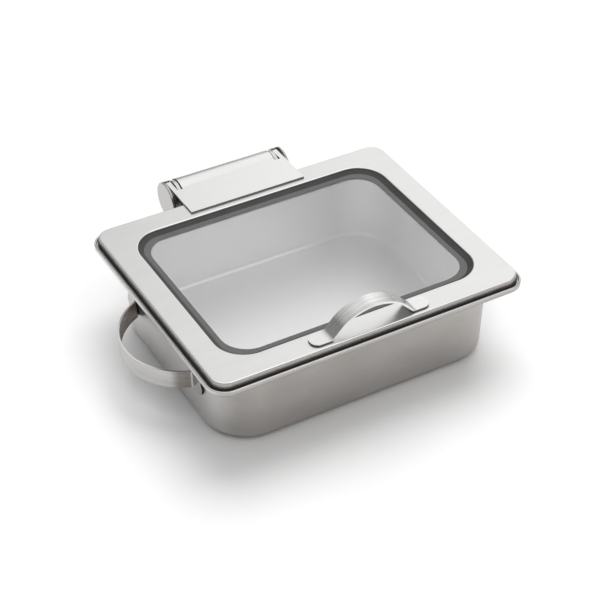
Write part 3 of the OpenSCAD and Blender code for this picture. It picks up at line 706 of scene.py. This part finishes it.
def leaf_finish():
    """Brushed plate and roll, with painted shade on the cut edges: the plate's rim and every face square
    to the pin.
    """
    made, wire = new_finish("brushed_leaf_steel")
    lines = grain(wire, LEAF_LINES, detail=2.0)
    clouds = grain(wire, LEAF_CLOUDS, detail=4.0)
    place, facing = place_and_facing(wire)
    sideways = facing.dot(ACROSS)
    in_plate = place.dot(UP).near(LID_HIGH + LEAF_THICK / 2, LEAF_THICK / 2)
    plate_rim = facing.dot(UP).near(0.0, RIM_FACING) * in_plate
    # Painted shade on the plate's rim and on every face square to the pin.
    painted_edge_shade = plate_rim.either(sideways * sideways > SQUARE_FACING)
    tone = 0.5 * clouds + 0.5 * lines
    colour = (LEAF_EDGE_SHADE_SHARE * painted_edge_shade).tint(tone.tint(LEAF_DULL, LEAF_BRIGHT), LEAF_EDGE_SHADE)
    skin(wire, colour, brushed_rough(LEAF_ROUGH, lines, clouds), lines, SCRATCH)
    return made


dress(leaf_finish(), "hinge_leaf")
dress(steel_finish("turned_cap_steel", CAP_DULL, CAP_BRIGHT, CAP_ROUGH, CAP_LINES, CAP_CLOUDS),
      "left_end_cap", "right_end_cap")


# Bushes: rings of sintered bronze that carry the rolled leaf on the fixed pin.
# They are pressed into the barrel's ends, and the oil in them leaves the face a dull gold.
BRONZE_DULL = (0.42, 0.27, 0.14)
BRONZE_BRIGHT = (0.55, 0.36, 0.19)
BRONZE_ROUGH = 0.45
dress(steel_finish("sintered_bronze", BRONZE_DULL, BRONZE_BRIGHT, BRONZE_ROUGH, LATHE_MARKS, LATHE_CLOUDS),
      "left_bush", "right_bush")


# Floor: a pale seamless sheet that runs out of view and takes the soft shadow of the dish.
# To the eye, and in metal and glass, it is white; the light that it throws back is that of pale card.
FLOOR_HALF = 12.0
FLOOR_CLOUDS = (0.4, 0.4, 0.4)
CARD_DULL = (0.78, 0.78, 0.78)
CARD_BRIGHT = (0.80, 0.80, 0.80)
WHITE_DULL = (0.99, 0.99, 0.99)
WHITE_BRIGHT = (1.0, 1.0, 1.0)


def pale_floor():
    """White where it is seen, straight or mirrored, and card where it only throws light back."""
    made, wire = new_finish("pale_floor")
    clouds = grain(wire, FLOOR_CLOUDS, detail=2.0)
    straight, mirrored, through = (wire.node("LightPath", out=ray)
                                   for ray in ("Is Camera Ray", "Is Glossy Ray", "Is Transmission Ray"))
    card = wire.node("BsdfDiffuse", {}, {"Color": clouds.tint(CARD_DULL, CARD_BRIGHT)})
    white = wire.node("BsdfDiffuse", {}, {"Color": clouds.tint(WHITE_DULL, WHITE_BRIGHT)})
    seen = straight.either(mirrored).either(through)
    sheet = wire.node("MixShader", {}, {0: seen, 1: card, 2: white})
    wire.node("OutputMaterial", {}, {"Surface": sheet})
    return made


floor_mesh = bpy.data.meshes.new("floor")
corners = [(x * FLOOR_HALF, y * FLOOR_HALF, 0) for x, y in ((-1, -1), (1, -1), (1, 1), (-1, 1))]
floor_mesh.from_pydata(corners, [], [(0, 1, 2, 3)])
floor_mesh.materials.append(pale_floor())
floor = bpy.data.objects.new("floor", floor_mesh)
bpy.context.scene.collection.objects.link(floor)


# Light: a plain grey studio, dim at the horizon, with pale screens behind, overhead and in front.
# A broad soft lamp hangs high behind on the right, out of sight of the metal.
# It throws the shadow forwards and a little to the left.
HORIZON = 0.12
OVERHEAD = 0.51
OVERHEAD_SPREAD = (0.25, 0.75)
BEHIND = Vector((0.60, 0.68, 0.42)).normalized()
BEHIND_SPREAD = (0.88, 0.99)
BEHIND_LIGHT = 0.78
ABOVE = Vector((0.10, 0.22, 1.0)).normalized()
ABOVE_SPREAD = (0.80, 0.95)
ABOVE_LIGHT = BEHIND_LIGHT * 0.62
AHEAD = Vector((0.39, -0.65, 0.65)).normalized()
AHEAD_SPREAD = (0.86, 0.97)
AHEAD_LIGHT = BEHIND_LIGHT * 0.7
LAMP_ENERGY = 1.42
LAMP_SPREAD = 45
LAMP_WAY = Vector((-0.34, -0.46, -1.0))
world = bpy.data.worlds.new("grey_studio")
world.use_nodes = True
world.node_tree.nodes.clear()
room = Wire(world.node_tree)


def towards(direction, spread, level):
    """Light that grows from nothing to level, over spread, as the way turns towards a direction."""
    return room.node("TexCoord", out="Generated").dot(direction).ramp(*spread, high=level)


brightness = (HORIZON
              + towards(UP, OVERHEAD_SPREAD, OVERHEAD)
              + towards(BEHIND, BEHIND_SPREAD, BEHIND_LIGHT)
              + towards(ABOVE, ABOVE_SPREAD, ABOVE_LIGHT)
              + towards(AHEAD, AHEAD_SPREAD, AHEAD_LIGHT))
glow = room.node("Background", {}, {"Color": (1, 1, 1, 1), "Strength": brightness})
room.node("OutputWorld", {}, {"Surface": glow})
bpy.context.scene.world = world

lamp = bpy.data.lights.new("soft_lamp", "SUN")
lamp.energy = LAMP_ENERGY
lamp.angle = math.radians(LAMP_SPREAD)
hung = bpy.data.objects.new("soft_lamp", lamp)
hung.rotation_euler = LAMP_WAY.to_track_quat("-Z", "Y").to_euler()
hung.visible_glossy = False
bpy.context.scene.collection.objects.link(hung)


# Camera: a long lens at the height and turn of the photograph.
# Its place was solved on the lid's corners and on the table.
LENS_MM = 100.1
SENSOR_MM = 36
EYE = Vector((-0.6582, -1.1501, 1.0844))
AIM = Vector((-0.0402, -0.0617, 0.098))
lens = bpy.data.cameras.new("camera")
lens.lens = LENS_MM
lens.sensor_width = SENSOR_MM
camera = bpy.data.objects.new("camera", lens)
camera.location = EYE
camera.rotation_euler = (AIM - EYE).to_track_quat("-Z", "Y").to_euler()
bpy.context.scene.collection.objects.link(camera)
bpy.context.scene.camera = camera
bpy.context.scene.view_settings.view_transform = "Standard"

bpy.context.view_layer.update()
